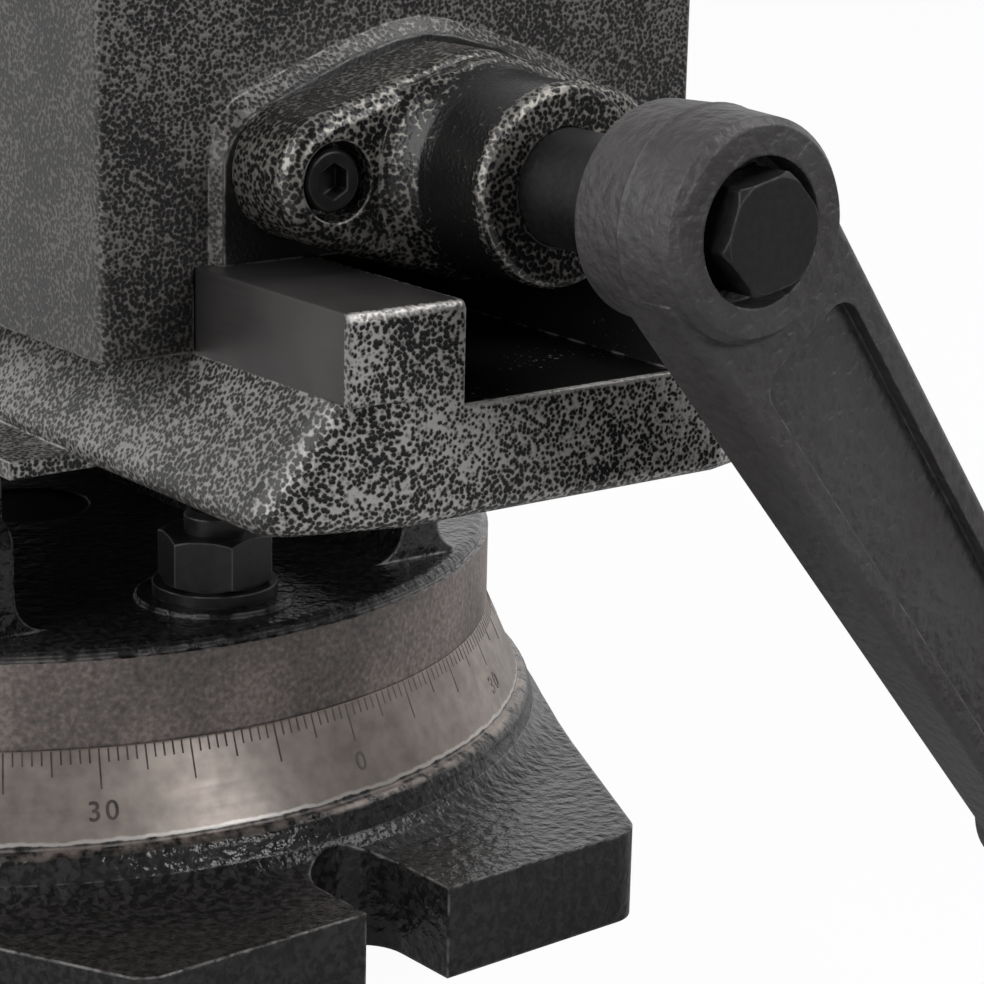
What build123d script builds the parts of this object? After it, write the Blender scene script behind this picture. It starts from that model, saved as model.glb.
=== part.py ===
"""Tilting machine vise on a swivel base: solids for each piece, in millimetres.

Frame: the origin is on the swivel axis at the underside of the base, +Z is up
and the screw crank is at the -Y end. Every piece is made in its assembled place.
"""
import math
import os

from build123d import *

# Swivel base
base_height = 36.9        # underside to the face that the turntable turns on
ring_radius = 84.0        # turntable, and the small end of the graduated cone
cone_radius = 89.9        # large end of the graduated cone
cone_drop = 13.4          # height of the graduated cone
foot_radius = 93.5
lug_thickness = 15.4
lug_reach = 113.5         # swivel axis to the end face of a lug
lug_half_width = 48.0
lug_corner = 6.0
slot_half_width = 8.1
slot_depth_y = 101.7      # swivel axis to the centre of a slot's round end
base_turn = -2.3          # the base stands turned a little under the vise
shoulder_out = 2.4        # rounded shoulder below the graduated cone
shoulder_drop = 2.6
flare_reach = 8.6         # hollow blend from the lugs up to the shoulder
flare_height = 4.9

# Swivel clamp
clamp_radius = 65.0       # swivel axis to the two clamp bolts
clamp_bolt_r = 5.0
slot_neck_half = 5.5      # radial half width of the ring slot's neck
slot_wide_half = 9.5
slot_neck_depth = 8.0
slot_wide_depth = 9.5
clamp_hole_gap = 0.5
clamp_head_gap = 1.0      # head to the wide slot's wall
clamp_head_t = 6.5
clamp_stud_proud = 3.6
washer_r = 10.2
washer_t = 2.0
nut_flats = 16.4
nut_t = 8.4

# Centre pivot
pivot_r = 18.0
pivot_stem_r = 12.0
pivot_fit = 0.05
pivot_floor_z = 13.4      # bottom of the blind bore in the base
pivot_end_gap = 0.5

# Turntable
rim_height = 14.2         # bare cylindrical rim
table_thickness = 16.0
rim_round = 2.8
rim_step = 0.7            # the cast top is this much smaller than the turned rim
ear_inner = 37.0
ear_thickness = 7.2
ear_front = -66.0
ear_top = 34.0            # above the turning face
ear_foot = 6.0
clamp_pad_t = 0.8
clamp_pad_edge = 2.8
ear_corner = 4.0
web_start_y = 34.0        # where the ears start to rise to the hinge
web_end_y = 60.0

# Tilt hinge
hinge_y = 72.0
hinge_up = 40.0           # above the turning face
hinge_bolt_r = 8.0
hinge_fit = 0.05
ear_disc_r = 33.0
hinge_flats = 24.0
hinge_washer_r = 14.0
hinge_washer_t = 3.0
hinge_head_t = 10.0
hinge_nut_t = 13.0
hinge_bolt_proud = 4.0
lock_radius = 23.5
lock_stud_r = 4.0
lock_slot_half = 4.6
lock_over_travel = 3.0    # degrees past both ends of the tilt
lock_washer_r = 8.4
lock_washer_t = 1.6
lock_flats = 13.0
lock_nut_t = 6.5
lock_stud_proud = 2.4
tilt_range = 90.0

# Vise body
body_front = -155.5
body_end = 105.0
body_wide_end = 36.0
under_z = 90.1            # underside of the slide plate
rail_foot_z = 107.8
floor_z = 105.9
rail_top_z = 119.9
rail_outer = 36.6
rail_inner = 18.5
front_flat = 27.0
side_half = 46.0
corner_back = 5.5
ledge_front = -101.0
ledge_start = 33.0
ledge_reach = 56.0
ledge_low = 1.3           # below the underside of the slide plate
ledge_t = 2.6
body_ear_gap = 0.4        # side gap of the tilting body between the ears
cheek_inner = 22.0
cheek_front = -34.0
cheek_side = 29.5         # the cheeks stop short of the ears' rounded feet
hub_on_ear_r = 16.0       # boss round the hinge bolt that meets the ear
lock_pad_r = 10.6         # the same round the lock stud
swing_gap = 1.1           # hinge end of the cheeks above the turntable
swept_gap = 0.6           # body to the ears' discs as it tilts
flank = 3.6               # height of the widest line above the underside
nose_round = 2.6
flank_round = 6.0         # soft edge between a flank and the blunt front
front_round = 2.4
rail_end_round = 1.3
fixed_jaw_top_depth = 22.0
fixed_jaw_slope = 28.0
fixed_jaw_corner = 3.0
fixed_jaw_base_z = 111.9

# Jaws
jaw_half = 51.1
jaw_top_z = 162.4
block_front = -118.7
block_bottom_z = 108.1
block_end = 20.5
plate_t = 12.0
plate_bottom_z = 120.4
jaw_opening = 15.0
close_travel = 15.0
open_travel = 65.0
slide_gap = 0.3
cavity_half = 17.0
cavity_front = -98.7
cavity_end = 8.5
cavity_top_z = 147.9
tongue_half = 10.0
tongue_gap = 0.3
keeper_half = 20.0
keeper_t = 6.0
keeper_reach = 4.0
keeper_gap = 0.6
keeper_screw_x = 5.5
keeper_screw_r = 2.5
keeper_head_r = 4.25
keeper_head_t = 3.8
block_corner = 1.4
plate_screw_x = 30.0
plate_screw_r = 4.0
plate_head_r = 6.5
plate_head_t = 8.0
plate_sink = 0.6          # screw head below the gripping face
plate_screw_length = 14.0

# Screw and its bracket
axis_z = 132.6
shaft_r = 8.0
thread_r = 9.0
thread_gap = 0.3
journal_fit = 0.08
collar_r = 13.0
collar_t = 8.5
thrust_t = 1.5
screw_end = 6.0
hex_flats = 14.0
hex_proud = 2.4
nut_front = -83.0
nut_length = 26.0
nut_half = 16.0
nut_above_axis = 13.8
nut_bolt_x = 9.5
nut_bolt_r = 3.0
nut_bolt_head_r = 5.0
nut_bolt_head_t = 6.0
pad_proud = 2.0
# half outlines of the raised pad on the jaw: X, and height above the screw's axis
pad_edge = [(33.2, 1.2), (31.9, 4.4), (29.2, 7.2), (22.0, 10.6), (12.6, 14.3), (5.0, 16.4), (0.0, 17.0)]
pad_foot = [(34.8, 1.2), (33.7, 7.0), (31.0, 10.0), (22.6, 13.4), (13.0, 16.8), (5.0, 19.1), (0.0, 19.8)]
flange_t = 13.3
flange_centre_r = 16.0
flange_ear_r = 9.5
flange_ear_x = 22.5
flange_round = 2.6
bracket_screw_x = 23.9
bracket_screw_r = 2.5
bracket_head_r = 4.3
bracket_head_t = 5.0
bracket_sink_r = 5.5
bracket_sink = 6.0
boss_r = 13.8
boss_end = -152.5
boss_blend = 8.0
neck_sink = 1.5           # the blend starts this far behind the flange's face
neck_inset = 0.8          # it stays this far inside the flange's outline

# Crank
hub_front = -190.7
hub_length = 19.7
hub_r = 14.6
hub_draft = 0.4
arm_step = 2.7            # hub face to arm face
arm_t = 12.0
arm_root_half = 13.9
arm_tip_half = 9.2
arm_shift = 0.7           # the arm's middle stands this far below the line between the two axes
crank_radius = 120.0
crank_angle = -52.15      # arm from +X towards +Z
panel_half = 8.9
panel_end_half = 6.6
panel_start = 18.6
panel_end = 102.0
panel_depth = 2.2
panel_corner = 3.4
mouth_r = 9.5             # round mouth of the hexagon socket
mouth_depth = 4.5
hex_gap = 0.15
hex_turn = 17.1
arm_round = 1.6
tip_r = 10.4
tip_proud = 1.0
grip_r = 10.5
grip_length = 82.0
grip_gap = 0.3
spindle_r = 4.0
spindle_head_r = 7.4
spindle_head_t = 3.5

# Values that follow from the ones above
table_z = base_height + table_thickness
hinge_z = base_height + hinge_up
ear_outer = ear_inner + ear_thickness
body_half = ear_inner - body_ear_gap
pad_face = block_front - pad_proud
flange_face = pad_face - flange_t
movable_face = block_end + plate_t
fixed_face = movable_face + jaw_opening
hub_back = hub_front + hub_length
arm_front = hub_front + arm_step
arm_back = arm_front + arm_t


def box(x0, x1, y0, y1, z0, z1):
    """A box between two corners."""
    size = (x1 - x0, y1 - y0, z1 - z0)
    centre = ((x0 + x1) / 2, (y0 + y1) / 2, (z0 + z1) / 2)
    return Pos(*centre) * Box(*size)


def rod(r, start, end):
    """A round bar between two points."""
    a = Vector(*start)
    b = Vector(*end)
    plane = Plane(origin=a, z_dir=b - a)
    return extrude(plane * Circle(r), amount=(b - a).length)


def hexagon(flats, start, end, turn=0):
    """A six-sided bar between two points, measured over its flats."""
    a = Vector(*start)
    b = Vector(*end)
    plane = Plane(origin=a, z_dir=b - a)
    outline = Rot(0, 0, turn) * RegularPolygon(flats / math.sqrt(3), 6)
    return extrude(plane * outline, amount=(b - a).length)


def prism(plane, points, depth):
    """A straight-sided outline pushed out along the plane's normal, or back if depth is negative."""
    way = plane.z_dir if depth > 0 else plane.z_dir * -1
    return extrude(plane * Polygon(*points, align=None), amount=abs(depth), dir=way)


def turned(points):
    """A closed outline of radius and height turned about the Z axis."""
    return revolve(Plane.XZ * Polygon(*points, align=None), Axis.Z)


def both_sides(shape):
    """The shape and its mirror image across X."""
    return shape + mirror(shape, Plane.YZ)


def tangent(px, py, cx, cy, r, side):
    """Where a line from a point touches a circle; side is 1 or -1."""
    dx = cx - px
    dy = cy - py
    far = math.hypot(dx, dy)
    turn = math.atan2(dy, dx) + side * math.asin(r / far)
    reach = math.sqrt(far * far - r * r)
    return px + reach * math.cos(turn), py + reach * math.sin(turn)


def hex_nut(flats, r_hole, start, end, turn=0):
    """A hexagon nut, or a bolt head if the hole's radius is 0, with its corners turned off."""
    a = Vector(*start)
    b = Vector(*end)
    body = hexagon(flats, start, end, turn)
    height = (b - a).length
    corner = flats / math.sqrt(3)
    plane = Plane(origin=a, z_dir=b - a)
    cut = corner - flats / 2
    drop = cut * 0.55
    outline = [(0, 0), (flats / 2, 0), (corner + 0.1, drop + 0.03), (corner + 0.1, height - drop - 0.03),
               (flats / 2, height), (0, height)]
    lens = plane.location * turned(outline)
    nut = body & lens
    if r_hole > 0:
        nut -= plane.location * Pos(0, 0, height / 2) * Cylinder(r_hole, height + 2)
    return nut


def washer(r_out, r_hole, start, end):
    """A plain washer between two points on its axis."""
    return rod(r_out, start, end) - rod(r_hole, start, end)


def cap_screw(r, head_r, head_t, length, top, way):
    """A socket head cap screw; top is the middle of the head face, way points to the tip."""
    t = Vector(*top)
    w = Vector(*way).normalized()
    seat = t + w * head_t
    tip = seat + w * length
    head = rod(head_r, t, seat)
    head = chamfer(head.edges().filter_by(GeomType.CIRCLE).sort_by_distance(t)[0], 0.4)
    socket = hexagon(head_r * 1.0, t, t + w * head_t * 0.55)
    return head + rod(r, seat, tip) - socket


def swivel_base():
    """Graduated ring, two slotted lugs, the ring-shaped clamp slot and the pivot bore."""
    corner_x = lug_half_width
    touch = tangent(corner_x, -lug_reach, 0, 0, foot_radius, -1)
    plan = [(-corner_x, -lug_reach), (corner_x, -lug_reach), touch,
            (touch[0], -touch[1]), (corner_x, lug_reach), (-corner_x, lug_reach),
            (-touch[0], -touch[1]), (-touch[0], touch[1])]
    foot = prism(Plane.XY, plan, base_height) + rod(foot_radius, (0, 0, 0), (0, 0, base_height))
    ends = foot.edges().filter_by(Axis.Z).filter_by(lambda e: abs(e.center().Y) > lug_reach - 1)
    foot = fillet(ends, lug_corner)
    cone_z = base_height - cone_drop
    flare = []
    neck_r = cone_radius + shoulder_out
    neck_z = lug_thickness + flare_height
    for i in range(5):
        a = math.radians(22.5 * i)
        flare.append((neck_r + flare_reach * (1 - math.sin(a)), neck_z - flare_height * math.cos(a)))
    for i in range(1, 5):
        a = math.radians(22.5 * i)
        flare.append((cone_radius + shoulder_out * math.cos(a), neck_z + shoulder_drop * math.sin(a)))
    outline = [(0, 0), (130, 0), (130, lug_thickness)] + flare
    outline += [(cone_radius, cone_z), (ring_radius, base_height), (0, base_height)]
    base = foot & turned(outline)
    for y in (-1, 1):
        path = box(-slot_half_width, slot_half_width, slot_depth_y, lug_reach + 5, -1, base_height)
        path += Pos(0, slot_depth_y, base_height / 2) * Cylinder(slot_half_width, base_height + 2)
        base -= Rot(0, 0, 0 if y > 0 else 180) * path
    neck_z = base_height - slot_neck_depth
    wide_z = neck_z - slot_wide_depth
    inner = clamp_radius - slot_neck_half
    outer = clamp_radius + slot_neck_half
    wide_in = clamp_radius - slot_wide_half
    wide_out = clamp_radius + slot_wide_half
    tee = turned([(inner, neck_z), (wide_in, neck_z), (wide_in, wide_z), (wide_out, wide_z),
                  (wide_out, neck_z), (outer, neck_z), (outer, base_height + 1), (inner, base_height + 1)])
    base -= tee
    base -= rod(slot_wide_half + 0.7, (clamp_radius, 0, 0), (clamp_radius, 0, wide_z + 1))
    base -= rod(pivot_r + pivot_fit, (0, 0, pivot_floor_z), (0, 0, base_height + 1))
    return Rot(0, 0, -base_turn) * base


def ear():
    """One upright of the turntable, with its hinge disc and curved lock slot."""
    z0 = base_height + 2
    top = base_height + ear_top
    half = ear_thickness / 2
    mid = ear_inner + half
    lift = table_z + ear_foot
    foot = []
    for i in range(7):
        a = math.radians(15 * i)
        foot.append((half + ear_foot - ear_foot * math.sin(a), lift - ear_foot * math.cos(a)))
    right = [(mid + x, z) for x, z in foot]
    left = [(mid - x, z) for x, z in reversed(foot)]
    section = [(mid - half - ear_foot, z0), (mid + half + ear_foot, z0)] + right
    section += [(mid + half, top), (mid - half, top)] + left
    section_plane = Plane(origin=(0, ear_front, 0), x_dir=(1, 0, 0), z_dir=(0, -1, 0))
    wall = prism(section_plane, section, ear_front - hinge_y)
    ends = wall.edges().filter_by(Axis.X).filter_by(lambda e: e.center().Y < ear_front + 1)
    wall = fillet(ends.sort_by(Axis.Z)[-1], ear_corner)
    wall &= rod(ring_radius - rim_round, (0, 0, 0), (0, 0, 200)) + box(0, 99, 0, web_end_y, z0, 200)
    side = Plane(origin=(ear_inner, 0, 0), x_dir=(0, 1, 0), z_dir=(1, 0, 0))
    up = tangent(web_start_y, top, hinge_y, hinge_z, ear_disc_r, 1)
    web = prism(side, [(web_start_y, z0), (web_start_y, top), up, (hinge_y, hinge_z), (hinge_y, z0)],
                ear_thickness)
    disc = rod(ear_disc_r, (ear_inner, hinge_y, hinge_z), (ear_outer, hinge_y, hinge_z))
    return wall + web + disc


def lock_slot():
    """The curved slot that the tilt lock stud travels in, for both ears."""
    start = 180 - tilt_range - lock_over_travel
    end = 180 + lock_over_travel
    outline = []
    steps = 14
    for r, order in ((lock_radius + lock_slot_half, range(steps + 1)),
                     (lock_radius - lock_slot_half, range(steps, -1, -1))):
        for i in order:
            a = math.radians(start + (end - start) * i / steps)
            outline.append((hinge_y + r * math.cos(a), hinge_z + r * math.sin(a)))
    side = Plane(origin=(-99, 0, 0), x_dir=(0, 1, 0), z_dir=(1, 0, 0))
    slot = prism(side, outline, 198)
    for angle in (start, end):
        a = math.radians(angle)
        y = hinge_y + lock_radius * math.cos(a)
        z = hinge_z + lock_radius * math.sin(a)
        slot += rod(lock_slot_half, (-99, y, z), (99, y, z))
    return slot


def turntable():
    """Round plate with a bare rim, two uprights and the clamp bolt holes."""
    rim_z = base_height + rim_height
    step_r = ring_radius - rim_step
    plate = turned([(0, base_height), (ring_radius, base_height), (ring_radius, rim_z), (step_r, rim_z + 0.1),
                    (step_r, rim_z + 0.8), (step_r - 0.5, rim_z + 1.4), (step_r - 1.2, rim_z + 1.7),
                    (ring_radius - rim_round, table_z), (0, table_z)])
    table = plate + both_sides(ear())
    for y in (-clamp_radius, clamp_radius):
        table += rod(washer_r + clamp_pad_edge, (0, y, table_z - 1), (0, y, table_z + clamp_pad_t))
        table -= rod(clamp_bolt_r + clamp_hole_gap, (0, y, 0), (0, y, 99))
    table -= rod(pivot_stem_r, (0, 0, 0), (0, 0, 99))
    table -= rod(hinge_bolt_r + hinge_fit, (-99, hinge_y, hinge_z), (99, hinge_y, hinge_z))
    return table - lock_slot()


def centre_pivot():
    """Stepped pin, held in the turntable, that turns in the base's blind bore."""
    pin = rod(pivot_stem_r, (0, 0, base_height), (0, 0, table_z - pivot_end_gap))
    foot = rod(pivot_r, (0, 0, pivot_floor_z + pivot_end_gap), (0, 0, base_height))
    return pin + chamfer(foot.edges().filter_by(GeomType.CIRCLE).sort_by(Axis.Z)[0], 1.5)


def each_clamp(make):
    """The same piece at the front and the back clamp bolt."""
    return Compound(children=[make(-clamp_radius), make(clamp_radius)])


def clamp_bolt(y):
    neck_z = base_height - slot_neck_depth
    head_r = slot_wide_half - clamp_head_gap
    top = table_z + clamp_pad_t + washer_t + nut_t + clamp_stud_proud
    bolt = rod(clamp_bolt_r, (0, y, neck_z), (0, y, top))
    bolt = chamfer(bolt.edges().filter_by(GeomType.CIRCLE).sort_by(Axis.Z)[-1], 0.9)
    return bolt + rod(head_r, (0, y, neck_z - clamp_head_t), (0, y, neck_z))


def clamp_washer(y):
    z = table_z + clamp_pad_t
    return washer(washer_r, clamp_bolt_r + 0.3, (0, y, z), (0, y, z + washer_t))


def clamp_nut(y):
    z = table_z + clamp_pad_t + washer_t
    return hex_nut(nut_flats, clamp_bolt_r, (0, y, z), (0, y, z + nut_t), 15)


def tilt_bolt():
    """Hinge bolt through both ears and the body, with its head on the +X side."""
    seat = ear_outer + hinge_washer_t
    tip = seat + hinge_nut_t + hinge_bolt_proud
    bolt = rod(hinge_bolt_r, (-tip, hinge_y, hinge_z), (seat, hinge_y, hinge_z))
    bolt = chamfer(bolt.edges().filter_by(GeomType.CIRCLE).sort_by(Axis.X)[0], 1.2)
    return bolt + hex_nut(hinge_flats, 0, (seat, hinge_y, hinge_z), (seat + hinge_head_t, hinge_y, hinge_z))


def tilt_washers():
    ring = washer(hinge_washer_r, hinge_bolt_r + hinge_fit, (ear_outer, hinge_y, hinge_z),
                  (ear_outer + hinge_washer_t, hinge_y, hinge_z))
    return Compound(children=[ring, mirror(ring, Plane.YZ)])


def tilt_nut():
    x = -ear_outer - hinge_washer_t
    return hex_nut(hinge_flats, hinge_bolt_r, (x, hinge_y, hinge_z), (x - hinge_nut_t, hinge_y, hinge_z))


def each_lock(make):
    """The same piece at the tilt lock on both sides."""
    part = make(hinge_y - lock_radius)
    return Compound(children=[part, mirror(part, Plane.YZ)])


def lock_stud(y):
    tip = ear_outer + lock_washer_t + lock_nut_t + lock_stud_proud
    return rod(lock_stud_r, (cheek_inner + 2, y, hinge_z), (tip, y, hinge_z))


def lock_washer(y):
    return washer(lock_washer_r, lock_stud_r + 0.2, (ear_outer, y, hinge_z),
                  (ear_outer + lock_washer_t, y, hinge_z))


def lock_nut(y):
    x = ear_outer + lock_washer_t
    return hex_nut(lock_flats, lock_stud_r, (x, y, hinge_z), (x + lock_nut_t, y, hinge_z))


def slide_plate():
    """The wide part of the bed, with sloping flanks and a blunt front end."""
    slope = (side_half - rail_outer) / (rail_foot_z - under_z - flank)
    foot_half = side_half + slope * flank + 0.25
    section = [(-foot_half, under_z), (foot_half, under_z), (rail_outer, rail_foot_z), (-rail_outer, rail_foot_z)]
    front = Plane(origin=(0, body_front, 0), x_dir=(1, 0, 0), z_dir=(0, -1, 0))
    plate = prism(front, section, body_front - body_wide_end)
    run = corner_back / (side_half - front_flat)
    side_y = body_front + run * (60 - front_flat)
    plan = [(-front_flat, body_front), (front_flat, body_front), (60, side_y), (60, body_wide_end),
            (-60, body_wide_end), (-60, side_y)]
    plate &= prism(Plane.XY, plan, 200)
    corners = plate.edges().filter_by(lambda e: e.center().Y < body_front + 10 and abs(e.center().X) > front_flat)
    corners = corners.filter_by(lambda e: abs(e.tangent_at(0.5).Z) > 0.5 and abs(e.center().X) > front_flat + 2)
    plate = fillet(corners, flank_round)
    ridges = plate.edges().filter_by(Axis.Z).filter_by(lambda e: e.center().Y < body_front + 0.1)
    plate = fillet(ridges, front_round)
    nose = plate.edges().filter_by(lambda e: e.center().Z < under_z + 0.1)
    plate = fillet(nose.filter_by(lambda e: e.center().Y < body_wide_end - 1), nose_round)
    z = under_z - ledge_low
    ledge = box(ledge_start, ledge_reach, ledge_front, body_wide_end, z, z + ledge_t)
    return plate + both_sides(ledge)


def cheek():
    """One of the two plates under the body that carry the hinge and rest on the turntable."""
    side = Plane(origin=(cheek_inner, 0, 0), x_dir=(0, 1, 0), z_dir=(1, 0, 0))
    swing = hinge_z - table_z - swing_gap
    depth = cheek_side - cheek_inner
    foot = [(cheek_front, under_z + 2), (cheek_front, table_z), (hinge_y - 12, table_z),
            (hinge_y, hinge_z - swing), (hinge_y, hinge_z), (hinge_y + swing, hinge_z),
            (hinge_y + swing, under_z + 2)]
    plate = prism(side, foot, depth)
    plate += rod(swing, (cheek_inner, hinge_y, hinge_z), (cheek_side, hinge_y, hinge_z))
    hub = rod(hub_on_ear_r, (cheek_inner, hinge_y, hinge_z), (body_half, hinge_y, hinge_z))
    pad = rod(lock_pad_r, (cheek_inner, hinge_y - lock_radius, hinge_z),
              (body_half, hinge_y - lock_radius, hinge_z))
    return plate + hub + pad


def vise_body():
    """Bed with two rails, the fixed jaw, and the cheeks that the hinge passes through."""
    body = slide_plate()
    body += box(-body_half, body_half, body_wide_end - 1, body_end, under_z, fixed_jaw_base_z)
    rail = box(rail_inner, rail_outer, body_front, fixed_face + plate_t + 1, rail_foot_z - 0.01, rail_top_z)
    top_edges = rail.edges().filter_by(lambda e: e.center().Z > rail_top_z - 0.1)
    rail = fillet(top_edges.filter_by(Axis.X).sort_by(Axis.Y)[0], rail_end_round)
    body += both_sides(rail)
    body -= box(-rail_inner, rail_inner, body_front - 1, fixed_face + plate_t, floor_z, rail_top_z + 1)
    side = Plane(origin=(-jaw_half, 0, 0), x_dir=(0, 1, 0), z_dir=(1, 0, 0))
    seat = fixed_face + plate_t
    profile = [(seat, fixed_jaw_base_z), (seat, jaw_top_z), (seat + fixed_jaw_top_depth, jaw_top_z),
               (body_end, jaw_top_z - fixed_jaw_slope), (body_end, fixed_jaw_base_z)]
    jaw = prism(side, profile, 2 * jaw_half)
    jaw = fillet(jaw.edges().filter_by(Axis.Z), fixed_jaw_corner)
    body += jaw
    body += both_sides(cheek())
    # room for the movable jaw's tongue and its keeper plate
    start = cavity_end - open_travel - keeper_gap
    end = block_end + close_travel + keeper_gap
    half = tongue_half + tongue_gap
    body -= box(-half, half, start, end, under_z - 1, floor_z + 1)
    half = keeper_half + keeper_gap
    body -= box(-half, half, start - keeper_reach, end + keeper_reach, under_z - 1,
                under_z + keeper_t + keeper_gap)
    swept = rod(ear_disc_r + swept_gap, (ear_inner - body_ear_gap, hinge_y, hinge_z),
                (ear_outer + body_ear_gap, hinge_y, hinge_z))
    body -= both_sides(swept)
    body -= rod(hinge_bolt_r + hinge_fit, (-99, hinge_y, hinge_z), (99, hinge_y, hinge_z))
    lock_y = hinge_y - lock_radius
    body -= rod(lock_stud_r, (-99, lock_y, hinge_z), (99, lock_y, hinge_z))
    for x in (-nut_bolt_x, nut_bolt_x):
        y = nut_front + nut_length / 2
        body -= rod(nut_bolt_r + 0.2, (x, y, 0), (x, y, 200))
        body -= rod(nut_bolt_head_r + 0.4, (x, y, under_z - 1), (x, y, under_z + nut_bolt_head_t + 0.5))
    for x in (-plate_screw_x, plate_screw_x):
        z = (jaw_top_z + plate_bottom_z) / 2
        body -= rod(plate_screw_r, (x, seat - 1, z), (x, seat + 16, z))
    return body


def screw_nut():
    """Block that stands in the bed inside the movable jaw and takes the screw's thread."""
    end = nut_front + nut_length
    nut = box(-nut_half, nut_half, nut_front, end, floor_z, axis_z + nut_above_axis)
    nut -= rod(thread_r + thread_gap, (0, nut_front - 1, axis_z), (0, end + 1, axis_z))
    for x in (-nut_bolt_x, nut_bolt_x):
        y = nut_front + nut_length / 2
        nut -= rod(nut_bolt_r, (x, y, 0), (x, y, floor_z + 12))
    return nut


def screw_nut_bolts():
    y = nut_front + nut_length / 2
    bolts = []
    for x in (-nut_bolt_x, nut_bolt_x):
        top = (x, y, under_z + 0.5)
        bolts.append(cap_screw(nut_bolt_r, nut_bolt_head_r, nut_bolt_head_t, 18.0, top, (0, 0, 1)))
    return Compound(children=bolts)


def pad_points(outline):
    """Both halves of the pad's arch in X and Z, from one half whose heights are above the screw's axis."""
    half = [(outline[0][0], rail_top_z)] + [(x, axis_z + up) for x, up in outline]
    return half + [(-x, z) for x, z in reversed(half[:-1])]


def movable_jaw():
    """Hollow sliding jaw: it straddles the rails and closes over the screw nut."""
    jaw = box(-jaw_half, jaw_half, block_front, block_end, block_bottom_z, jaw_top_z)
    jaw = fillet(jaw.edges().filter_by(Axis.Z), block_corner)
    channel = rail_outer + slide_gap
    jaw -= box(-channel, channel, block_front - 1, block_end + 1, 0, rail_top_z)
    jaw -= box(-cavity_half, cavity_half, cavity_front, cavity_end, rail_top_z - 1, cavity_top_z)
    tongue_z = under_z + keeper_t + slide_gap
    jaw += box(-tongue_half, tongue_half, cavity_end, block_end, tongue_z, rail_top_z + 2)
    front = Plane(origin=(0, block_front + 0.5, 0), x_dir=(1, 0, 0), z_dir=(0, -1, 0))
    face = Plane(origin=(0, pad_face, 0), x_dir=(1, 0, 0), z_dir=(0, -1, 0))
    jaw += loft([front * Polygon(*pad_points(pad_foot), align=None),
                 face * Polygon(*pad_points(pad_edge), align=None)])
    recess = pad_face + 2 * thrust_t + collar_t
    jaw -= rod(collar_r + 0.5, (0, pad_face - 1, axis_z), (0, recess, axis_z))
    jaw -= rod(thread_r + 0.6, (0, pad_face - 1, axis_z), (0, cavity_front + 1, axis_z))
    for x in (-bracket_screw_x, bracket_screw_x):
        jaw -= rod(bracket_screw_r, (x, pad_face - 1, axis_z), (x, pad_face + 16, axis_z))
    for x in (-plate_screw_x, plate_screw_x):
        z = (jaw_top_z + plate_bottom_z) / 2
        jaw -= rod(plate_screw_r, (x, block_end - 16, z), (x, block_end + 1, z))
    for x in (-keeper_screw_x, keeper_screw_x):
        y = (cavity_end + block_end) / 2
        jaw -= rod(keeper_screw_r, (x, y, tongue_z - 1), (x, y, tongue_z + 14))
    return jaw


def jaw_keeper():
    """Plate under the bed that stops the movable jaw from lifting."""
    z = under_z + slide_gap
    keeper = box(-keeper_half, keeper_half, cavity_end - keeper_reach, block_end + keeper_reach,
                 z, z + keeper_t)
    for x in (-keeper_screw_x, keeper_screw_x):
        y = (cavity_end + block_end) / 2
        keeper -= rod(keeper_screw_r + 0.2, (x, y, 0), (x, y, 200))
        keeper -= rod(keeper_head_r + 0.35, (x, y, z - 1), (x, y, z + keeper_head_t + 0.2))
    return keeper


def jaw_keeper_screws():
    y = (cavity_end + block_end) / 2
    top = under_z + slide_gap + 0.2
    screws = []
    for x in (-keeper_screw_x, keeper_screw_x):
        screws.append(cap_screw(keeper_screw_r, keeper_head_r, keeper_head_t, 12.0, (x, y, top), (0, 0, 1)))
    return Compound(children=screws)


def jaw_plate(y, out):
    """Hardened jaw plate whose gripping face looks along out."""
    near = y
    far = y + out * plate_t
    plate = box(-jaw_half, jaw_half, min(near, far), max(near, far), plate_bottom_z, jaw_top_z)
    plate = chamfer(plate.edges().filter_by(lambda e: abs(e.center().Y - far) < 0.01), 0.6)
    z = (jaw_top_z + plate_bottom_z) / 2
    for x in (-plate_screw_x, plate_screw_x):
        plate -= rod(plate_screw_r + 0.3, (x, near - out, z), (x, far + out, z))
        floor = far - out * (plate_head_t + plate_sink)
        plate -= rod(plate_head_r + 0.5, (x, floor, z), (x, far + out, z))
    return plate


def jaw_plate_screws(y, out):
    z = (jaw_top_z + plate_bottom_z) / 2
    screws = []
    for x in (-plate_screw_x, plate_screw_x):
        top = (x, y + out * (plate_t - plate_sink), z)
        screws.append(cap_screw(plate_screw_r, plate_head_r, plate_head_t, plate_screw_length, top,
                                (0, -out, 0)))
    return Compound(children=screws)


def lead_screw():
    """Screw with its thrust collar, plain journal and hexagon end."""
    hex_end = hub_front - hex_proud
    collar = pad_face + thrust_t
    screw = rod(shaft_r, (0, hub_back, axis_z), (0, collar, axis_z))
    screw += rod(collar_r, (0, collar, axis_z), (0, collar + collar_t, axis_z))
    screw += rod(thread_r, (0, collar + collar_t, axis_z), (0, screw_end, axis_z))
    bar = hexagon(hex_flats, (0, hex_end, axis_z), (0, hub_back, axis_z), hex_turn)
    limit = rod(shaft_r - 0.05, (0, hex_end, axis_z), (0, hub_back, axis_z))
    limit = chamfer(limit.edges().filter_by(GeomType.CIRCLE).sort_by(Axis.Y)[0], 0.7)
    screw += bar & limit
    return chamfer(screw.edges().filter_by(GeomType.CIRCLE).sort_by(Axis.Y)[-1], 1.2)


def thrust_washers():
    a = pad_face
    b = pad_face + thrust_t + collar_t
    first = washer(collar_r, shaft_r + 0.3, (0, a, axis_z), (0, a + thrust_t, axis_z))
    second = washer(collar_r, thread_r + 0.3, (0, b, axis_z), (0, b + thrust_t, axis_z))
    return Compound(children=[first, second])


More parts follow.
